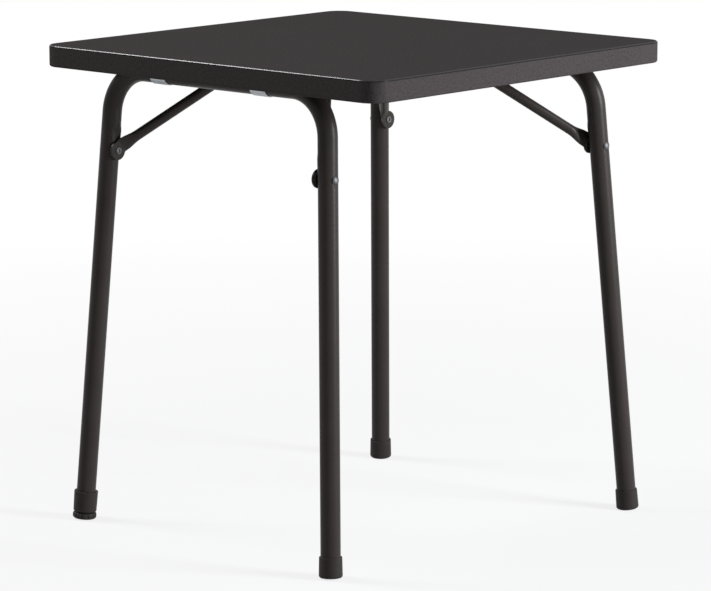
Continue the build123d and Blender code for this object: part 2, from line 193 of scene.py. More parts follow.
# %% Edge wear: a mask that is white where the surface turns sharply
settings = {"Patch Size": 0.012, "Edge Width": 0.001}
wear_tree, entry, result, texture = new_effect("Edge wear", settings, "Mask")
rounded = made(wear_tree, "ShaderNodeBevel", {"Radius": entry["Edge Width"]}, samples=6)
plain = add(wear_tree, "ShaderNodeNewGeometry").outputs["Normal"]
facing = vectors(wear_tree, "DOT_PRODUCT", rounded, plain)["Value"]
sharp = ranged(wear_tree, math(wear_tree, "SUBTRACT", 1.0, facing), 0.01, 0.15)
patchy = ranged(wear_tree, noise(wear_tree, texture, Detail=4.0), 0.35, 0.6)
wear_tree.links.new(math(wear_tree, "MULTIPLY", sharp, patchy), result.inputs["Mask"])
print("group:", wear_tree.name)

# %% Zinc cloud: spangles of plating, with fine drawn lines across them
SPANGLE_SHARE = 0.35
CLOUD_LEVEL = 0.75

zinc_tree, entry, result, texture = new_effect("Zinc cloud", {"Spangle Size": 0.004}, "Mask", "Height")
spangles = add(zinc_tree, "ShaderNodeTexVoronoi", texture).outputs["Color"]
stretched = {"Vector": entry["Vector"], "Scale": (0.15, 3.0, 3.0)}
drawn = made(zinc_tree, "ShaderNodeMapping", stretched)
lines = noise(zinc_tree, texture, Vector=drawn, Detail=4.0)
cell_tone = made(zinc_tree, "ShaderNodeSeparateColor", {"Color": spangles})
cloud = math(zinc_tree, "MULTIPLY_ADD", cell_tone, SPANGLE_SHARE, lines)
zinc_tree.links.new(math(zinc_tree, "MULTIPLY", cloud, CLOUD_LEVEL), result.inputs["Mask"])
zinc_tree.links.new(lines, result.inputs["Height"])
print("group:", zinc_tree.name)

# %% [markdown]
# ## Finishes
#
# A finish is a Principled shader fed by those groups. The colours are written as the eye sees
# them under plain light. The board is a dark warm plastic with a matt etched face. Only the
# rounding between its rim and its top is polished. The whole rounding is painted darker, as
# painted shade for the dark line along the turned edge. Its gloss starts a little way up the turn,
# so that it mirrors the lamp above as one thin line. The frame paint has much the same colour but
# is smoother, so that long soft highlights run down the tubes. What is the same all over a piece
# is set on the shader itself, because then another program can read it; only what changes over the
# surface comes from nodes.

# %% Helpers that start a finish and join its parts
def new_finish(name, **constants):
    """A material, its tree, its shader with the constant sockets set, and object coordinates."""
    material = bpy.data.materials.new(name)
    material.use_nodes = True
    tree = material.node_tree
    shader = tree.nodes["Principled BSDF"]
    for label, value in constants.items():
        shader.inputs[label.replace("_", " ")].default_value = value
    where = add(tree, "ShaderNodeTexCoord").outputs["Object"]
    return material, tree, shader, where


def effect(tree, group, where, **values):
    """What one of the groups puts out in a material, given this material's own values."""
    node = add(tree, "ShaderNodeGroup", node_tree=group)
    tree.links.new(where, node.inputs["Vector"])
    for label, value in values.items():
        node.inputs[label.replace("_", " ")].default_value = value
    return node.outputs


def join(tree, shader, **links):
    """Joins results to the shader's inputs by name."""
    for label, socket in links.items():
        tree.links.new(socket, shader.inputs[label.replace("_", " ")])


print("joining helpers ready")

# %% Helpers for values, colours and bumps
def between(tree, mask, low, high):
    """A value that goes from low to high with the mask."""
    return ranged(tree, mask, 0.0, 1.0, low, high)


def mixed(tree, mask, first, second):
    """A colour that goes from the first to the second with the mask."""
    node = add(tree, "ShaderNodeMix", {0: mask}, data_type="RGBA")
    for index, colour in ((6, first), (7, second)):
        if isinstance(colour, bpy.types.NodeSocket):
            tree.links.new(colour, node.inputs[index])
        else:
            node.inputs[index].default_value = colour
    return node.outputs[2]


def bump(tree, height, depth):
    """A normal tilted by a height map whose hills are this deep."""
    node = add(tree, "ShaderNodeBump", {"Height": height, "Distance": depth, "Strength": 1.0})
    return node.outputs["Normal"]


print("colour helpers ready")

# %% The board: etched dark plastic, polished only where its rim turns into its top
GRAIN_DARK = tone(47, 43, 44)
GRAIN_LIGHT = tone(64, 60, 60)
BOARD_HANDLED = tone(69, 65, 66)
# Painted shade: the whole rounding between rim and top is coloured this dark, to stand for the dark line
# that the turned edge shows.
BOARD_EDGE_SHADE = tone(20, 18, 18)

board_plastic, tree, shader, where = new_finish(
    "Board plastic",
    Specular_IOR_Level=0.0,
    Coat_Roughness=0.26,
)
grain = effect(tree, grain_tree, where, Cell_Size=0.0034)
patches = effect(tree, handled_tree, where, Patch_Size=0.16, Contrast=0.9)
normal = add(tree, "ShaderNodeTexCoord").outputs["Normal"]
upward = add(tree, "ShaderNodeSeparateXYZ", {0: normal}).outputs["Z"]
# This product is zero on the upright rim and on the flat top, and largest halfway round the turn.
slope = math(tree, "MULTIPLY", math(tree, "SUBTRACT", 1.0, upward), upward)
rounding = ranged(tree, slope, 0.05, 0.15)
past_rim = ranged(tree, upward, 0.3, 0.5)
turned_edge = math(tree, "MULTIPLY", rounding, past_rim)
speckle = between(tree, grain["Speckle"], -0.6, 1.6)
speckled = mixed(tree, speckle, GRAIN_DARK, GRAIN_LIGHT)
handled = between(tree, patches["Mask"], 0.0, 0.35)
patched = mixed(tree, handled, speckled, BOARD_HANDLED)
join(
    tree,
    shader,
    # The rounding mask paints the edge's painted shade colour into the base colour here.
    Base_Color=mixed(tree, rounding, patched, BOARD_EDGE_SHADE),
    Roughness=between(tree, patches["Mask"], 0.86, 0.72),
    Coat_Weight=between(tree, turned_edge, 0.02, 0.75),
    Normal=bump(tree, grain["Height"], 0.00014),
)
print("finish:", board_plastic.name)

# %% The frame paint: dark semi gloss over steel tube
PAINT_DARK = tone(41, 37, 35)
PAINT_LIGHT = tone(53, 48, 46)
PAINT_RUBBED = tone(104, 102, 101)

frame_paint, tree, shader, where = new_finish("Frame paint", Specular_IOR_Level=0.09)
ripple = effect(tree, ripple_tree, where, Wave_Size=0.0035)
patches = effect(tree, handled_tree, where, Patch_Size=0.06, Contrast=1.0)
edges = effect(tree, wear_tree, where, Edge_Width=0.0008, Patch_Size=0.006)
painted = mixed(tree, patches["Mask"], PAINT_DARK, PAINT_LIGHT)
rubbed = between(tree, edges["Mask"], 0.0, 0.6)
colour = mixed(tree, rubbed, painted, PAINT_RUBBED)
gloss = between(tree, patches["Mask"], 0.4, 0.28)
join(tree, shader, Base_Color=colour, Roughness=gloss, Normal=bump(tree, ripple["Height"], 0.00011))
print("finish:", frame_paint.name)

# %% The feet: matt rubbery plastic that picks up dust
FOOT_DARK = tone(37, 33, 32)
FOOT_LIGHT = tone(47, 42, 41)
FOOT_RUBBED = tone(96, 94, 93)

foot_plastic, tree, shader, where = new_finish("Foot plastic", Specular_IOR_Level=0.1)
grain = effect(tree, grain_tree, where, Cell_Size=0.0007)
patches = effect(tree, handled_tree, where, Patch_Size=0.02, Contrast=1.1)
edges = effect(tree, wear_tree, where, Edge_Width=0.001, Patch_Size=0.005)
moulded = mixed(tree, patches["Mask"], FOOT_DARK, FOOT_LIGHT)
rubbed = between(tree, edges["Mask"], 0.0, 0.55)
colour = mixed(tree, rubbed, moulded, FOOT_RUBBED)
matt = between(tree, patches["Mask"], 0.6, 0.42)
join(tree, shader, Base_Color=colour, Roughness=matt, Normal=bump(tree, grain["Height"], 0.00008))
print("finish:", foot_plastic.name)

# %% [markdown]
# ## Metal finishes
#
# Bare steel pieces differ only in how bright, how warm and how rough they are, so one function
# makes them all. The plating is cloudy, and its edges, where it is rubbed, are brighter.

# %% Zinc, spring steel and screws
STEEL_RUBBED = tone(214, 216, 218)


def plated_steel(name, dark, bright, rough, smooth, spangle):
    """A metal finish whose plating runs from a dull to a bright tone."""
    material, tree, shader, where = new_finish(name)
    zinc = effect(tree, zinc_tree, where, Spangle_Size=spangle)
    edges = effect(tree, wear_tree, where, Edge_Width=0.0006, Patch_Size=0.004)
    plate = mixed(tree, zinc["Mask"], dark, bright)
    rubbed = between(tree, edges["Mask"], 0.0, 0.7)
    join(
        tree,
        shader,
        Base_Color=mixed(tree, rubbed, plate, STEEL_RUBBED),
        Roughness=between(tree, zinc["Mask"], rough, smooth),
        Metallic=between(tree, zinc["Mask"], 0.82, 1.0),
        Normal=bump(tree, zinc["Height"], 0.00004),
    )
    return material


saddle_zinc = plated_steel("Saddle zinc", tone(146, 150, 152), tone(196, 200, 203), 0.55, 0.36, 0.005)
keeper_zinc = plated_steel("Keeper zinc", tone(132, 136, 139), tone(186, 190, 193), 0.5, 0.32, 0.004)
spring_steel = plated_steel("Spring steel", tone(84, 86, 90), tone(132, 135, 140), 0.42, 0.26, 0.003)
screw_zinc = plated_steel("Screw zinc", tone(140, 143, 146), tone(202, 205, 208), 0.42, 0.24, 0.0015)
# Painted shade, in part: the washers are a dark steel, and their tones are kept darker still to stand for
# the shade in the gap between the brace's eye and the leg.
washer_steel_and_shade = plated_steel("Washer steel", tone(42, 41, 42), tone(66, 65, 66), 0.62, 0.48, 0.002)
metals = (saddle_zinc, keeper_zinc, spring_steel, screw_zinc, washer_steel_and_shade)
print("metal finishes:", [metal.name for metal in metals])

# %% [markdown]
# ## The rivets' finish
#
# The rivets are set before the frame is painted, and the paint is rubbed off only where something
# turned against it: on the crown of the head and round the lip of the rolled end. Each rivet's
# mesh carries a number, bare, at every vertex, and the finish reads it to go from paint to steel.

# %% Half painted rivet steel
RIVET_PAINT = tone(50, 48, 49)
RIVET_DARK = tone(80, 82, 86)
RIVET_BRIGHT = tone(116, 118, 122)
RAGGEDNESS = 0.5

rivet_steel, tree, shader, where = new_finish("Rivet steel")
zinc = effect(tree, zinc_tree, where, Spangle_Size=0.0012)
patches = effect(tree, handled_tree, where, Patch_Size=0.003, Contrast=0.8)
given = add(tree, "ShaderNodeAttribute", attribute_name="bare").outputs["Fac"]
lowered = math(tree, "SUBTRACT", given, RAGGEDNESS / 2)
ragged = math(tree, "MULTIPLY_ADD", patches["Mask"], RAGGEDNESS, lowered)
bare = ranged(tree, ragged, 0.4, 0.6)
steel = mixed(tree, zinc["Mask"], RIVET_DARK, RIVET_BRIGHT)
join(
    tree,
    shader,
    Base_Color=mixed(tree, bare, RIVET_PAINT, steel),
    Roughness=between(tree, bare, 0.5, 0.6),
    Metallic=bare,
    Normal=bump(tree, zinc["Height"], 0.00003),
)
print("finish:", rivet_steel.name)

# %% [markdown]
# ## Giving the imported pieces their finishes
#
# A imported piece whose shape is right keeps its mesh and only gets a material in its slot. The
# finishes read object coordinates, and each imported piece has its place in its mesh, so the grain
# stays fixed to the piece when it moves.

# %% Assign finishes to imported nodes
finishes = {
    board_plastic: ["table_top"],
    frame_paint: ["front_brace", "rear_brace", "front_leg_frame", "rear_leg_frame"],
    foot_plastic: [
        "foot_cap_front_right",
        "foot_cap_rear_left",
        "foot_cap_rear_right",
        "levelling_collar",
        "levelling_knob",
    ],
    saddle_zinc: ["saddle_front_left", "saddle_front_right", "saddle_rear_left", "saddle_rear_right"],
    keeper_zinc: ["front_brace_keeper", "rear_brace_keeper"],
    spring_steel: ["front_brace_latch", "rear_brace_latch"],
    screw_zinc: ["saddle_screws", "keeper_screws", "levelling_nut", "levelling_stud"],
    washer_steel_and_shade: ["front_brace_washers", "rear_brace_washers"],
    rivet_steel: ["front_brace_rivets", "rear_brace_rivets"],
}
for material, names in finishes.items():
    for name in names:
        nodes[name].data.materials.clear()
        nodes[name].data.materials.append(material)
print("finished nodes:", sum(len(names) for names in finishes.values()), "of", len(nodes))

# %% [markdown]
# ## Where the tubes and rivets lie
#
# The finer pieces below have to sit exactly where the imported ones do, so their places are worked
# out from the same sizes. The rear frame is the front one turned half a turn, with its own lean.

# %% Sizes of the leg frames and braces
MM = 0.001
BOARD_UNDERSIDE = 726 * MM
TUBE_RADIUS = 15 * MM
TUBE_WALL = 2 * MM
BEND_RADIUS = 70 * MM
CROSSBAR_GAP = 0.3 * MM
HINGE_HEIGHT = BOARD_UNDERSIDE - CROSSBAR_GAP - TUBE_RADIUS
HINGE_FROM_MIDDLE = 260.7 * MM
CROSSBAR_HALF = 219 * MM
FRAME_SHIFT = 41 * MM
SPLAY = radians(3.35)
LEANS = {"front": radians(3.26), "rear": radians(4.22)}
PIVOT_DROP = 126 * MM
FLAT_DISTANCE = 14.5 * MM
BRACE_RADIUS = 8 * MM
BRACE_LENGTH = 203 * MM
PLAIN_FOOT = {"base_radius": 17.8 * MM, "edge_radius": 3.5 * MM, "below_tube": 5 * MM}
LEVELLING_FOOT = {"base_radius": 18.5 * MM, "edge_radius": 3.5 * MM, "below_tube": 20.3 * MM}
FEET = {"front": (LEVELLING_FOOT, PLAIN_FOOT), "rear": (PLAIN_FOOT, PLAIN_FOOT)}
print("hinge height:", round(HINGE_HEIGHT, 4))

# %% Places on the legs
def turn_of(frame_name):
    """1 for the front frame and -1 for the rear one, which is turned half a turn."""
    return 1 if frame_name == "front" else -1


def leg_point(frame_name, side, drop):
    """A point on a leg's axis, at a drop from the hinge line down the plane of its frame."""
    lean = LEANS[frame_name]
    x = -FRAME_SHIFT + side * (CROSSBAR_HALF + drop * tan(SPLAY))
    y = -HINGE_FROM_MIDDLE - drop * sin(lean)
    turn = turn_of(frame_name)
    return Vector((turn * x, turn * y, HINGE_HEIGHT - drop * cos(lean)))


def end_drop(frame_name, base_radius, edge_radius, below_tube):
    """Drop of the end of a leg's tube, whose foot stands on the floor on its rounded edge."""
    lean_cosine = cos(SPLAY) * cos(LEANS[frame_name])
    lean_sine = sqrt(1 - lean_cosine**2)
    middle = (base_radius - edge_radius) * lean_sine + edge_radius * (1 - lean_cosine)
    return (HINGE_HEIGHT - middle) / cos(LEANS[frame_name]) - below_tube * cos(SPLAY)


pivots = {name: [leg_point(name, side, PIVOT_DROP) for side in (-1, 1)] for name in LEANS}
for name, pair in pivots.items():
    print(name, "brace pivots:", [[round(value, 4) for value in point] for point in pair])

# %% [markdown]
# ## The bent leg frames
#
# Each frame is one steel tube bent to a U. Where the brace is riveted on, a press has pushed the
# inner wall of each leg flat, and the wall beside the flat bulges a little. A tube is a circle
# carried along a line, so Geometry Nodes can make it from four corner points: fillet the corners,
# step along the curve, carry the circle, and then push the vertices near the rivets. A small group
# presses one leg, and the frame's tree uses it twice.

# %% Geometry group: how each vertex lies from the rivet
press_tree, entry, result = new_group(
    "Press one leg",
    "GeometryNodeTree",
    {
        "Geometry": "geometry",
        "Pivot": (0.0, 0.0, 0.0),
        "Inward": 1.0,
        "Tube Radius": TUBE_RADIUS,
        "Flat Distance": FLAT_DISTANCE,
        "Rise": 31 * MM,
        "End Slope": 0.4,
        "Leg Slope": round(tan(SPLAY), 4),
        "Softness": 1.4 * MM,
        "Bulge": 0.9,
        "Head Seat": 7.8 * MM,
        "Reach Across": 30 * MM,
        "Reach Along": 60 * MM,
    },
    {"Geometry": "geometry"},
)


def press(*given):
    """The result of one arithmetic node in the group that presses a leg."""
    return math(press_tree, *given)


place = made(press_tree, "GeometryNodeInputPosition")
offset = vectors(press_tree, "SUBTRACT", place, entry["Pivot"])[0]
parts = add(press_tree, "ShaderNodeSeparateXYZ", {0: offset}).outputs
inward = press("MULTIPLY", parts["X"], entry["Inward"])
print("inputs of the group:", len(entry) - 1)

# %% Geometry group: push the inner wall flat and let its sides bulge
above = press("MAXIMUM", press("SUBTRACT", parts["Z"], entry["Rise"]), 0.0)
flat = press("MULTIPLY_ADD", above, entry["End Slope"], entry["Flat Distance"])
surface = press("MULTIPLY_ADD", parts["Z"], entry["Leg Slope"], entry["Tube Radius"])
depth = press("MAXIMUM", press("SUBTRACT", surface, flat), 0.0)
pressed = press("SMOOTH_MIN", inward, flat, entry["Softness"])
across_share = press("DIVIDE", parts["Y"], entry["Tube Radius"])
inner_share = press("DIVIDE", press("MAXIMUM", inward, 0.0), entry["Tube Radius"])
swell = press("MULTIPLY", press("MULTIPLY", across_share, inner_share), entry["Bulge"])
across = press("MULTIPLY_ADD", swell, depth, parts["Y"])
print("nodes so far:", len(press_tree.nodes))

# %% Geometry group: seat the rivet's head outside, and move the vertices near the rivet
height_squared = press("MULTIPLY", parts["Z"], parts["Z"])
from_rivet = press("SQRT", press("MULTIPLY_ADD", parts["Y"], parts["Y"], height_squared))
outside_seat = press("MAXIMUM", press("SUBTRACT", from_rivet, entry["Head Seat"]), 0.0)
seat = press("SUBTRACT", press("MULTIPLY", entry["Flat Distance"], -1.0), outside_seat)
seated = press("MAXIMUM", pressed, seat)
moved = {"X": press("MULTIPLY", seated, entry["Inward"]), "Y": across, "Z": parts["Z"]}
back = vectors(press_tree, "ADD", made(press_tree, "ShaderNodeCombineXYZ", moved), entry["Pivot"])[0]
near_across = press("LESS_THAN", press("ABSOLUTE", inward), entry["Reach Across"])
near_along = press("LESS_THAN", press("ABSOLUTE", parts["Z"]), entry["Reach Along"])
near = press("MULTIPLY", near_across, near_along)
shift = {"Geometry": entry["Geometry"], "Selection": near, "Position": back}
shifted = made(press_tree, "GeometryNodeSetPosition", shift)
press_tree.links.new(shifted, result.inputs["Geometry"])
print("geometry group:", press_tree.name)

# %% Geometry tree: a line with its corners filleted, and a circle carried along it
tube_tree, entry, result = new_group(
    "Bent leg tube",
    "GeometryNodeTree",
    {
        "Geometry": "geometry",
        "Tube Radius": TUBE_RADIUS,
        "Bend Radius": BEND_RADIUS,
        "Bend Steps": 40,
        "Sides": 64,
        "Step": 4 * MM,
        "Left Pivot": (0.0, 0.0, 0.0),
        "Right Pivot": (0.0, 0.0, 0.0),
        "Finish": "material",
    },
    {"Geometry": "geometry"},
)
line = made(tube_tree, "GeometryNodeMeshToCurve", {0: entry["Geometry"]})
bends = {"Curve": line, "Count": entry["Bend Steps"], "Radius": entry["Bend Radius"]}
bent = made(tube_tree, "GeometryNodeFilletCurve", bends, mode="POLY")
steps = {"Curve": bent, "Length": entry["Step"]}
stepped = made(tube_tree, "GeometryNodeResampleCurve", steps, mode="LENGTH")
section = {"Resolution": entry["Sides"], "Radius": entry["Tube Radius"]}
circle = made(tube_tree, "GeometryNodeCurvePrimitiveCircle", section, mode="RADIUS")
shape = made(tube_tree, "GeometryNodeCurveToMesh", {"Curve": stepped, "Profile Curve": circle})
print("nodes so far:", len(tube_tree.nodes))

# %% Geometry tree: press both legs and give the tube its finish
def finish_tree(tree, entry, result, shape):
    """Ends a tree: makes its shape real, gives it the finish and puts it out."""
    real = made(tree, "GeometryNodeRealizeInstances", {0: shape})
    coated = made(tree, "GeometryNodeSetMaterial", {"Geometry": real, "Material": entry["Finish"]})
    tree.links.new(coated, result.inputs["Geometry"])


for label, inward_sign in (("Left Pivot", 1.0), ("Right Pivot", -1.0)):
    pressing = add(tube_tree, "GeometryNodeGroup", node_tree=press_tree)
    tube_tree.links.new(shape, pressing.inputs["Geometry"])
    tube_tree.links.new(entry[label], pressing.inputs["Pivot"])
    tube_tree.links.new(entry["Tube Radius"], pressing.inputs["Tube Radius"])
    pressing.inputs["Inward"].default_value = inward_sign
    shape = pressing.outputs[0]
finish_tree(tube_tree, entry, result, shape)
print("geometry tree:", tube_tree.name)

# %% [markdown]
# ## From a tree to a plain mesh
#
# A modifier is only a recipe. So that any program can read the piece, its result is copied to a
# plain mesh, the recipe is taken off, and the piece is tied to the body that carries it.

# %% Helpers that make a piece and run a tree on it
def new_object(name, mesh):
    """An object at the origin that shows this mesh."""
    piece = bpy.data.objects.new(name, mesh)
    bpy.context.scene.collection.objects.link(piece)
    return piece


def run_tree(piece, tree, **values):
    """Puts a Geometry Nodes tree on the piece, with its inputs set by their identifiers."""
    recipe = piece.modifiers.new(tree.name, "NODES")
    recipe.node_group = tree
    sockets = {item.name: item.identifier for item in tree.interface.items_tree if item.in_out == "INPUT"}
    for label, value in values.items():
        recipe[sockets[label.replace("_", " ")]] = value


def settle(piece):
    """Copies the result of the piece's modifiers into a plain mesh, and takes them off."""
    bpy.context.view_layer.update()
    scene_state = bpy.context.evaluated_depsgraph_get()
    mesh = bpy.data.meshes.new_from_object(
        piece.evaluated_get(scene_state), preserve_all_data_layers=True, depsgraph=scene_state
    )
    mesh.name = piece.name
    piece.modifiers.clear()
    piece.data = mesh


def count_triangles(piece):
    """How many triangles the faces of a piece come to."""
    return sum(len(polygon.vertices) - 2 for polygon in piece.data.polygons)


print("settling helpers ready")

# %% Helpers that smooth a piece
CREASE = radians(35)


def finish_mesh(work, mesh):
    """Fills a mesh from a working one: faces outwards and smooth, with creases at its corners."""
    bmesh.ops.recalc_face_normals(work, faces=work.faces)
    for face in work.faces:
        face.smooth = True
    for edge in work.edges:
        edge.smooth = len(edge.link_faces) == 2 and edge.calc_face_angle() < CREASE
    work.to_mesh(mesh)
    work.free()
    return mesh


def reshade(piece):
    """Finishes the mesh of a piece that modifiers have changed."""
    work = bmesh.new()
    work.from_mesh(piece.data)
    finish_mesh(work, piece.data)


print("a crease starts at", round(degrees(CREASE)), "degrees")

# %% Build both leg frames
for name, (left_foot, right_foot) in FEET.items():
    corners = [
        leg_point(name, -1, end_drop(name, **left_foot)),
        leg_point(name, -1, 0),
        leg_point(name, 1, 0),
        leg_point(name, 1, end_drop(name, **right_foot)),
    ]
    corners.sort(key=lambda corner: corner.x)
    outline = bpy.data.meshes.new(f"{name}_leg_line")
    outline.from_pydata(corners, [(0, 1), (1, 2), (2, 3)], [])
    leg_tube = new_object(f"{name}_leg_tube", outline)
    low_pivot, high_pivot = sorted(pivots[name], key=lambda point: point.x)
    run_tree(
        leg_tube,
        tube_tree,
        Tube_Radius=TUBE_RADIUS,
        Bend_Radius=BEND_RADIUS,
        Left_Pivot=tuple(low_pivot),
        Right_Pivot=tuple(high_pivot),
        Finish=frame_paint,
    )
    wall = leg_tube.modifiers.new("Tube wall", "SOLIDIFY")
    wall.thickness = TUBE_WALL
    wall.offset = -1
    settle(leg_tube)
    reshade(leg_tube)
    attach(leg_tube, f"{name}_frame")
    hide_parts(f"{name}_leg_frame")
    print(leg_tube.name, "triangles:", count_triangles(leg_tube))

# %% [markdown]
# ## Turned pieces
#
# Screws, rivets and the levelling stud are round pieces. Each is drawn as half an outline, from
# the axis at one end to the axis at the other, and turned into a solid. Each ring can carry its
# own share of bare metal. A thread is a ridge that climbs round the shank.

# %% Helper that turns an outline
def turned(outline, sides):
    """A closed solid from pairs, or triples with a share of bare metal, of radius and height."""
    work = bmesh.new()
    bare = work.verts.layers.float.new("bare")
    rings = []
    for radius, height, *share in outline:
        count = sides if radius > 0 else 1
        ring = []
        for index in range(count):
            angle = 2 * pi * index / sides
            vertex = work.verts.new((radius * cos(angle), radius * sin(angle), height))
            vertex[bare] = share[0] if share else 0.0
            ring.append(vertex)
        rings.append(ring)
    for lower, upper in zip(rings, rings[1:]):
        for index in range(sides):
            after = (index + 1) % sides
            corners = [lower[index % len(lower)], lower[after % len(lower)]]
            corners += [upper[after % len(upper)], upper[index % len(upper)]]
            distinct = list(dict.fromkeys(corners))
            if len(distinct) > 2:
                work.faces.new(distinct)
    return work


def arc(centre_radius, centre_height, radius, first, last, steps, share=0.0):
    """Points of a rounded corner, for an outline, between two angles in degrees."""
    points = []
    for index in range(steps + 1):
        angle = radians(first + (last - first) * index / steps)
        points.append((centre_radius + radius * cos(angle), centre_height + radius * sin(angle), share))
    return points


print("turning helpers ready")

# %% Helpers that carry a section along a path and cut a thread
RIDGE_SUNK = 0.97
RIDGE_HALF = 0.42
RIDGE_END_HALF = 0.02
RIDGE_CREST = 0.12


def loft(work, rings):
    """Faces between rings that have as many vertices each, and one face on either end."""
    for lower, upper in zip(rings, rings[1:]):
        for index in range(len(lower)):
            after = (index + 1) % len(lower)
            work.faces.new((lower[index], lower[after], upper[after], upper[index]))
    work.faces.new(rings[0])
    work.faces.new(rings[-1])


def add_thread(work, root, crest, start, length, pitch, steps):
    """A ridge that climbs round a shank from start, and fades out at both ends."""
    total = int(length / pitch * steps)
    sections = []
    for index in range(total + 1):
        angle = 2 * pi * index / steps
        height = start + pitch * index / steps
        fade = min(1.0, index / steps, (total - index) / steps)
        foot = root * RIDGE_SUNK
        tip = root + (crest - root) * fade
        half = RIDGE_HALF * pitch * fade + RIDGE_END_HALF * pitch
        points = ((foot, -half), (tip, -RIDGE_CREST * half), (tip, RIDGE_CREST * half), (foot, half))
        ring = [work.verts.new((r * cos(angle), r * sin(angle), height + rise)) for r, rise in points]
        sections.append(ring)
    loft(work, sections)


def to_mesh(work, name):
    """A new mesh, finished from a working one."""
    return finish_mesh(work, bpy.data.meshes.new(name))


print("thread helpers ready")

# %% [markdown]
# ## One tree for all the fasteners
#
# Fasteners repeat, so each kind is modelled once. A Geometry Nodes tree then sets a copy at every
# point of a small point cloud, aimed by the direction that each point carries, and gives every
# copy its own turn, because no two screws stop with their cross at the same angle.

# %% Geometry tree: set a piece at each point
fastener_tree, entry, result = new_group(
    "Set fasteners",
    "GeometryNodeTree",
    {"Geometry": "geometry", "Piece": "object", "Most Turn": 1.57, "Seed": 4, "Finish": "material"},
    {"Geometry": "geometry"},
)
piece = add(fastener_tree, "GeometryNodeObjectInfo", {"Object": entry["Piece"]}).outputs["Geometry"]
aim = made(fastener_tree, "GeometryNodeInputNamedAttribute", {"Name": "aim"}, data_type="FLOAT_VECTOR")
copies = {"Points": entry["Geometry"], "Instance": piece, "Rotation": aim}
placed = made(fastener_tree, "GeometryNodeInstanceOnPoints", copies)
limits = {3: entry["Most Turn"], 8: entry["Seed"]}
chance = add(fastener_tree, "FunctionNodeRandomValue", limits, data_type="FLOAT").outputs[1]
spin = made(fastener_tree, "ShaderNodeCombineXYZ", {"Z": chance})
turns = {"Instances": placed, "Rotation": spin, "Local Space": True}
spun = made(fastener_tree, "GeometryNodeRotateInstances", turns)
finish_tree(fastener_tree, entry, result, spun)
print("geometry tree:", fastener_tree.name)

# %% Helper that sets fasteners and ties them to a body
def set_fasteners(name, source, places, finish, body, replaced, seed, aims=(), most_turn=0.5 * pi):
    """Copies of one fastener, upright unless they are aimed, as one plain mesh on one body."""
    cloud = bpy.data.meshes.new(f"{name}_places")
    cloud.from_pydata(places, [], [])
    directions = cloud.attributes.new("aim", "FLOAT_VECTOR", "POINT")
    for index, angles in enumerate(aims):
        directions.data[index].vector = angles
    piece = new_object(name, cloud)
    run_tree(piece, fastener_tree, Piece=source, Most_Turn=most_turn, Seed=seed, Finish=finish)
    settle(piece)
    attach(piece, body)
    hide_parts(*replaced)
    print(name, "copies:", len(places), "triangles:", count_triangles(piece))


print("fastener helper ready")

# %% [markdown]
# ## Wood screws
#
# Pan head screws with a cross recess hold the saddles and keepers to the board. The head is
# turned, the thread climbs the shank, and the cross is cut with a Boolean modifier, which leaves
# the crisp walls that a driver bites into.

# %% Helper that makes the cutter for the cross
SQUARE = ((-1, -1), (1, -1), (1, 1), (-1, 1))
CROSS_TAPER = 0.55


def cross_cutter(reach, width, low, high):
    """Two crossed wedges, narrower at the bottom of the recess."""
    work = bmesh.new()
    for quarter in (0, 1):
        corners = []
        for height, share in ((low, 1.0), (high, CROSS_TAPER)):
            for x, y in SQUARE:
                point = Vector((x * reach * share, y * width * share, height))
                corners.append(work.verts.new(Matrix.Rotation(quarter * pi / 2, 3, "Z") @ point))
        loft(work, (corners[:4], corners[4:]))
    return to_mesh(work, "cross_cutter")


print("cross narrows to", CROSS_TAPER, "of its width")

# %% Model both screws and cut their crosses
STRAP = 1.2 * MM
KEEPER = 2 * MM
LEAF = 0.8 * MM
SCREW_BITE = 13 * MM
SCREW_POINT = 4 * MM
SCREW_PITCH = 1.8 * MM
SCREW_ROOT = 1.55 * MM
SCREW_CREST = 2.1 * MM
PAN_RADIUS = 4.1 * MM
PAN_HEIGHT = 2.4 * MM


def screw_source(name, length):
    """A pan head wood screw that points up, with the flat of its head at height zero."""
    outline = [(0, -PAN_HEIGHT), (1.5 * MM, -2.38 * MM)]
    outline += arc(2.3 * MM, -0.55 * MM, 1.8 * MM, -85, -5, 8)
    outline += [(PAN_RADIUS, -0.2 * MM), (PAN_RADIUS - 0.15 * MM, 0), (SCREW_CREST, 0)]
    outline += [(SCREW_CREST, 0.9 * MM), (SCREW_ROOT, 1.6 * MM)]
    outline += [(SCREW_ROOT, length - SCREW_POINT), (0, length)]
    work = turned(outline, 36)
    add_thread(work, SCREW_ROOT, SCREW_CREST, 1.8 * MM, length - 6.2 * MM, SCREW_PITCH, 18)
    screw = new_object(name, to_mesh(work, name))
    cutter = new_object(f"{name}_cutter", cross_cutter(2.1 * MM, 0.42 * MM, -3 * MM, -0.9 * MM))
    cut = screw.modifiers.new("Cross", "BOOLEAN")
    cut.object = cutter
    cut.solver = "EXACT"
    cut.use_self = True
    settle(screw)
    bpy.data.objects.remove(cutter)
    reshade(screw)
    return screw


saddle_screw = screw_source("saddle_screw_source", SCREW_BITE + STRAP)
keeper_screw = screw_source("keeper_screw_source", SCREW_BITE + KEEPER + LEAF)
print("screw faces:", len(saddle_screw.data.polygons))

# %% Where the screws go
SADDLE_MIDDLES = (-FRAME_SHIFT - 114 * MM, -FRAME_SHIFT + 93 * MM)
SADDLE_HOLE = 25.58 * MM
KEEPER_HOLE_ASIDE = 15 * MM
KEEPER_HOLE_BEHIND = 27 * MM
KEEPER_GAP = 0.3 * MM


def crosspiece_y(frame_name):
    """Where the middle of a brace's crosspiece lies along Y, on the front side."""
    pivot = leg_point(frame_name, 1, PIVOT_DROP)
    rise = BOARD_UNDERSIDE - KEEPER - KEEPER_GAP - BRACE_RADIUS - pivot.z
    return -abs(pivot.y) + sqrt(BRACE_LENGTH**2 - rise**2)


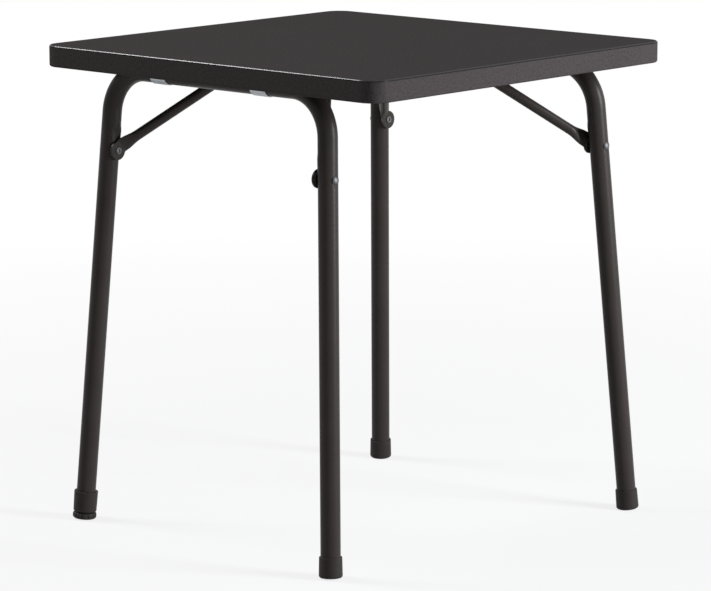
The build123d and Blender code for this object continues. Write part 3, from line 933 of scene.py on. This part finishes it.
saddle_places = []
for x in SADDLE_MIDDLES:
    for side in (-1, 1):
        y = -HINGE_FROM_MIDDLE + side * SADDLE_HOLE
        saddle_places += [(x, y, BOARD_UNDERSIDE - STRAP), (-x, -y, BOARD_UNDERSIDE - STRAP)]
keeper_places = []
for name in LEANS:
    for side in (-1, 1):
        x = turn_of(name) * (-FRAME_SHIFT + side * KEEPER_HOLE_ASIDE)
        y = turn_of(name) * (crosspiece_y(name) + KEEPER_HOLE_BEHIND)
        keeper_places.append((x, y, BOARD_UNDERSIDE - KEEPER - LEAF))
print("screws:", len(saddle_places), "and", len(keeper_places))

# %% Set the screws
screw_sets = (("saddle", saddle_screw, saddle_places, 3), ("keeper", keeper_screw, keeper_places, 8))
for kind, source, places, seed in screw_sets:
    set_fasteners(
        f"{kind}_screw_set",
        source=source,
        places=places,
        finish=screw_zinc,
        body="top",
        replaced=[f"{kind}_screws"],
        seed=seed,
    )
    bpy.data.objects.remove(source)

# %% [markdown]
# ## Saddles
#
# Four straps of zinc plate hold the crossbars of the leg frames up against the board, and the
# frames turn in them like an axle in its bearing. A strap is one flat strip bent round the tube, so
# it is drawn as a line seen from the side, and a thin rectangle with softened edges is carried
# along that line. Towards its ends the strip narrows to round corners, as a punch leaves it.

# %% The line and the section of a saddle
SADDLE_HALF_WIDTH = 15.5 * MM
SADDLE_REACH = 34.08 * MM
SADDLE_CORNER = 4 * MM
SADDLE_BEND = 2.2 * MM
SOFT_EDGE = 0.25 * MM
SEAT_GAP = 0.08 * MM
SEAT_RADIUS = TUBE_RADIUS + SEAT_GAP + STRAP / 2
FLANGE_HEIGHT = BOARD_UNDERSIDE - HINGE_HEIGHT - STRAP / 2
FLANGE_STEPS = 12
BEND_STEPS = 8
SEAT_STEPS = 30


def saddle_line():
    """Points and outward directions along one side of the strap, from its end to below the tube."""
    line = []
    flange = SADDLE_REACH - SEAT_RADIUS - SADDLE_BEND
    for index in range(FLANGE_STEPS + 1):
        line.append((SADDLE_REACH - flange * index / FLANGE_STEPS, FLANGE_HEIGHT, -pi / 2))
    for index in range(1, BEND_STEPS + 1):
        turn = pi / 2 * index / BEND_STEPS
        y = SEAT_RADIUS + SADDLE_BEND - SADDLE_BEND * sin(turn)
        line.append((y, FLANGE_HEIGHT - SADDLE_BEND + SADDLE_BEND * cos(turn), turn - pi / 2))
    for index in range(1, SEAT_STEPS + 1):
        turn = pi / 2 * index / SEAT_STEPS
        line.append((SEAT_RADIUS * cos(turn), -SEAT_RADIUS * sin(turn), -turn))
    return line


def saddle_section(y, z, facing):
    """One ring round the strip, narrower where the punched corners are round."""
    from_end = SADDLE_REACH - abs(y)
    inset = SADDLE_CORNER - sqrt(max(SADDLE_CORNER**2 - max(SADDLE_CORNER - from_end, 0.0) ** 2, 0.0))
    half = SADDLE_HALF_WIDTH - inset
    side = half - SOFT_EDGE
    face = STRAP / 2
    ring = [(half, SOFT_EDGE - face), (half, face - SOFT_EDGE), (side, face), (-side, face)]
    ring += [(-half, face - SOFT_EDGE), (-half, SOFT_EDGE - face), (-side, -face), (side, -face)]
    return [(x, y + out * cos(facing), z + out * sin(facing)) for x, out in ring]


half_line = saddle_line()
whole_line = half_line + [(-y, z, -pi - facing) for y, z, facing in reversed(half_line[:-1])]
print("points along a strap:", len(whole_line))

# %% Model one saddle and set four of them
work = bmesh.new()
rings = [[work.verts.new(point) for point in saddle_section(*place)] for place in whole_line]
loft(work, rings)
saddle_source = new_object("saddle_source", to_mesh(work, "saddle"))
saddle_seats = []
for x in SADDLE_MIDDLES:
    saddle_seats += [(x, -HINGE_FROM_MIDDLE, HINGE_HEIGHT), (-x, HINGE_FROM_MIDDLE, HINGE_HEIGHT)]
set_fasteners(
    "saddle_set",
    source=saddle_source,
    places=saddle_seats,
    finish=saddle_zinc,
    body="top",
    replaced=[name for name in nodes if name.startswith("saddle_") and name != "saddle_screws"],
    seed=1,
    most_turn=0.0,
)
bpy.data.objects.remove(saddle_source)

# %% [markdown]
# ## Rivets
#
# A semi tubular rivet has a domed head on the outside of the leg. Its hollow end comes through the
# flattened eye of the brace and is rolled over into a lip. That rolled lip is the small bright
# ring that shows on each eye, so it is drawn with real roundings, and its inside is left bare.

# %% Draw half a rivet, each point with its share of bare metal
GRIP = 34.4 * MM
RIVET_RADIUS = 4 * MM
DOME_HEIGHT = 2.4 * MM
DOME_RADIUS = 10.35 * MM
DOME_MIDDLE = DOME_RADIUS - DOME_HEIGHT

rivet_outline = [(0, -DOME_HEIGHT, 0.8)]
rivet_outline += arc(0, DOME_MIDDLE, DOME_RADIUS, -85, -74, 4, 0.8)
rivet_outline += arc(0, DOME_MIDDLE, DOME_RADIUS, -71, -52, 6, 0.1)
rivet_outline += arc(6.05 * MM, -0.45 * MM, 0.45 * MM, -40, 80, 4, 0.1)
rivet_outline += [(RIVET_RADIUS, 0, 0.0), (RIVET_RADIUS, GRIP, 0.0), (5.5 * MM, GRIP + 0.02 * MM, 0.0)]
rivet_outline += arc(5.3 * MM, GRIP + 0.65 * MM, 0.62 * MM, -60, 75, 6, 0.0)
rivet_outline += [(4.3 * MM, GRIP + 1.55 * MM, 0.1), (3.6 * MM, GRIP + 1.6 * MM, 0.4)]
rivet_outline += [(3.25 * MM, GRIP + 1.58 * MM, 0.95)]
rivet_outline += arc(3.3 * MM, GRIP + 0.55 * MM, 1 * MM, 100, 180, 5, 1.0)
rivet_outline += [(2.2 * MM, GRIP - 0.3 * MM, 0.8), (1.8 * MM, GRIP - 0.7 * MM, 0.8)]
rivet_outline += [(0, GRIP - 0.8 * MM, 0.8)]
print("points of the rivet's outline:", len(rivet_outline))

# %% Turn the rivet and set all four
rivet_source = new_object("rivet_source", to_mesh(turned(rivet_outline, 48), "rivet"))
for name in LEANS:
    places = []
    aims = []
    for inward_sign, point in zip((1, -1), sorted(pivots[name], key=lambda pivot: pivot.x)):
        places.append(point + Vector((-inward_sign * FLAT_DISTANCE, 0, 0)))
        aims.append((0.0, inward_sign * pi / 2, 0.0))
    set_fasteners(
        f"{name}_rivet_set",
        source=rivet_source,
        places=places,
        aims=aims,
        finish=rivet_steel,
        body=f"{name}_frame",
        replaced=[f"{name}_brace_rivets"],
        seed=11,
    )
bpy.data.objects.remove(rivet_source)

# %% [markdown]
# ## The levelling stud
#
# One foot can be screwed out to stop the table rocking. Its stud is an M8 screw, and the thread
# shows in the gap above the fluted knob, most of all when the foot is turned out. The stud follows
# the leg, which both splays and leans, so its mesh is tilted into place before it is tied on.

# %% Model the stud upright
STUD_LENGTH = 44 * MM
STUD_ROOT = 3.3 * MM
STUD_CREST = 3.98 * MM
STUD_PITCH = 1.25 * MM
STUD_BEVEL = 0.7 * MM

stud_outline = [(0, 0), (STUD_ROOT - STUD_BEVEL, 0), (STUD_ROOT, STUD_BEVEL)]
stud_outline += [(STUD_ROOT, STUD_LENGTH - STUD_BEVEL), (STUD_ROOT - STUD_BEVEL, STUD_LENGTH)]
stud_outline += [(0, STUD_LENGTH)]
work = turned(stud_outline, 32)
add_thread(work, STUD_ROOT, STUD_CREST, 0.8 * MM, STUD_LENGTH - 1.6 * MM, STUD_PITCH, 24)
stud = new_object("levelling_stud_thread", to_mesh(work, "levelling_stud_thread"))
stud.data.materials.append(screw_zinc)
print("stud triangles:", count_triangles(stud))

# %% Tilt it along the leg and tie it on
STUD_LOW = 3.5 * MM

stud_base_drop = end_drop("front", **{**LEVELLING_FOOT, "below_tube": 0})
base = leg_point("front", -1, stud_base_drop)
up_leg = (leg_point("front", -1, 0) - base).normalized()
tilt = up_leg.to_track_quat("Z", "Y").to_matrix().to_4x4()
stud.data.transform(Matrix.Translation(base + up_leg * STUD_LOW) @ tilt)
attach(stud, "levelling_screw")
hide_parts("levelling_stud")
print("leg leans", round(degrees(up_leg.angle(Vector((0, 0, 1)))), 2), "degrees")

# %% [markdown]
# ## The studio
#
# The table stands on a plain white floor in front of a white world. The floor is a real surface
# that takes the table's shadow. To the camera it is mostly plain white, so that floor and
# background meet without a line. What the metal reflects is the same white world.

# %% Helpers for floor and world
WHITE = (1.0, 1.0, 1.0, 1.0)


def seen_directly(tree):
    """1 for rays that show the background itself: from the camera, off gloss or through glass."""
    path = add(tree, "ShaderNodeLightPath").outputs
    gloss = math(tree, "MAXIMUM", path["Is Camera Ray"], path["Is Glossy Ray"])
    return math(tree, "MAXIMUM", gloss, path["Is Transmission Ray"])


def blended(tree, output_kind, share, first, second):
    """Ends a floor's or world's tree with a mix of two of its shaders."""
    blend = made(tree, "ShaderNodeMixShader", {0: share, 1: first, 2: second})
    add(tree, output_kind, {"Surface": blend})


print("studio helpers ready")

# %% The floor
FLOOR_REACH = 14.0
PAPER = (0.6, 0.6, 0.6, 1.0)

floor_corners = [(x * FLOOR_REACH, y * FLOOR_REACH, 0) for x, y in SQUARE]
floor_mesh = bpy.data.meshes.new("studio_floor")
floor_mesh.from_pydata(floor_corners, [], [(0, 1, 2, 3)])
floor = new_object("studio_floor", floor_mesh)
floor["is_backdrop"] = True
floor_white = bpy.data.materials.new("Floor white")
floor_white.use_nodes = True
tree = floor_white.node_tree
tree.nodes.clear()
paper = made(tree, "ShaderNodeBsdfDiffuse", {"Color": PAPER})
glow = made(tree, "ShaderNodeEmission", {"Color": WHITE, "Strength": 1.0})
where = add(tree, "ShaderNodeTexCoord").outputs["Object"]
plainness = ranged(tree, vectors(tree, "LENGTH", where)["Value"], 0.7, 2.6, start=0.8)
share = math(tree, "MULTIPLY", seen_directly(tree), plainness)
blended(tree, "ShaderNodeOutputMaterial", share, paper, glow)
floor.data.materials.append(floor_white)
print("floor reach:", FLOOR_REACH)

# %% The world
world = bpy.data.worlds.new("Studio world")
bpy.context.scene.world = world
world.use_nodes = True
tree = world.node_tree
tree.nodes.clear()
soft = made(tree, "ShaderNodeBackground", {"Color": WHITE, "Strength": 0.2})
white = made(tree, "ShaderNodeBackground", {"Color": WHITE, "Strength": 1.0})
blended(tree, "ShaderNodeOutputWorld", seen_directly(tree), soft, white)
print("world:", world.name)

# %% [markdown]
# ## Lamps
#
# Product photographs of dark things use few, large lamps. A soft lamp on the right lights the side
# of the board that faces it, and stands clear of what the right edge mirrors into the camera. A
# strip high on the left draws the bright line along the front edge: it stands where the rounded
# edge mirrors it into the camera, and is rolled to lie along the edge's mirror image.

# %% Lamps
def lamp(name, place, aim_at, width, height, power, colour=(1.0, 1.0, 1.0), height_along=(0.0, 0.0, 1.0)):
    """A rectangular lamp that faces a point, rolled so that its height follows a direction."""
    light = bpy.data.lights.new(name, "AREA")
    light.shape = "RECTANGLE"
    light.size = width
    light.size_y = height
    light.energy = power
    light.color = colour
    holder = bpy.data.objects.new(name, light)
    bpy.context.scene.collection.objects.link(holder)
    behind = (Vector(place) - Vector(aim_at)).normalized()
    side = Vector(height_along).cross(behind).normalized()
    holder.location = place
    holder.rotation_euler = Matrix((side, behind.cross(side), behind)).transposed().to_euler()


lamp(
    "right_softbox",
    place=(3.0, 1.15, 1.34),
    aim_at=(0.0, 0.0, 0.5),
    width=0.9,
    height=1.8,
    power=190,
    colour=(0.94, 0.97, 1.0),
)
lamp(
    "edge_strip",
    place=(-2.93, -1.35, 3.6),
    aim_at=(0.0, -0.34, 0.75),
    width=0.8,
    height=1.6,
    power=150,
    height_along=(0.0, 0.87, 0.49),
)
print("lamps:", [item.name for item in bpy.data.lights])

# %% [markdown]
# ## Camera
#
# The camera stands where the photographer's did: a little above the top, five metres away, with a
# long lens. Its angles were found by matching points of the table in the picture.

# %% Camera
AZIMUTH = radians(41.576)
ELEVATION = radians(10.914)
DISTANCE = 5.1534
IMAGE_WIDTH = 711
FOCAL_PIXELS = 3303.85
SENSOR = 36.0
TARGET_ASIDE = 0.785 * MM
TARGET_HEIGHT = 351.65 * MM
CLIP_END = 100

back = Vector((sin(AZIMUTH) * cos(ELEVATION), -cos(AZIMUTH) * cos(ELEVATION), sin(ELEVATION)))
right = Vector((cos(AZIMUTH), sin(AZIMUTH), 0.0))
target = right * TARGET_ASIDE + Vector((0.0, 0.0, TARGET_HEIGHT))
camera_data = bpy.data.cameras.new("camera")
camera_data.sensor_width = SENSOR
camera_data.lens = FOCAL_PIXELS * SENSOR / IMAGE_WIDTH
camera_data.clip_end = CLIP_END
camera = bpy.data.objects.new("camera", camera_data)
bpy.context.scene.collection.objects.link(camera)
camera.rotation_mode = "QUATERNION"
camera.location = target + back * DISTANCE
camera.rotation_quaternion = (-back).to_track_quat("-Z", "Y")
bpy.context.scene.camera = camera
bpy.context.scene.view_settings.view_transform = "Standard"
print("lens:", round(camera_data.lens, 2), "mm, from", [round(value, 3) for value in camera.location])

# %% [markdown]
# ## Check the size and finish
#
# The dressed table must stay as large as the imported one.

# %% Sizes and the last call
shown_low, shown_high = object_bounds()
drift = [abs(shown - packed) for shown, packed in zip((*shown_low, *shown_high), (*cad_low, *cad_high))]
print("largest difference:", round(max(drift), 5))
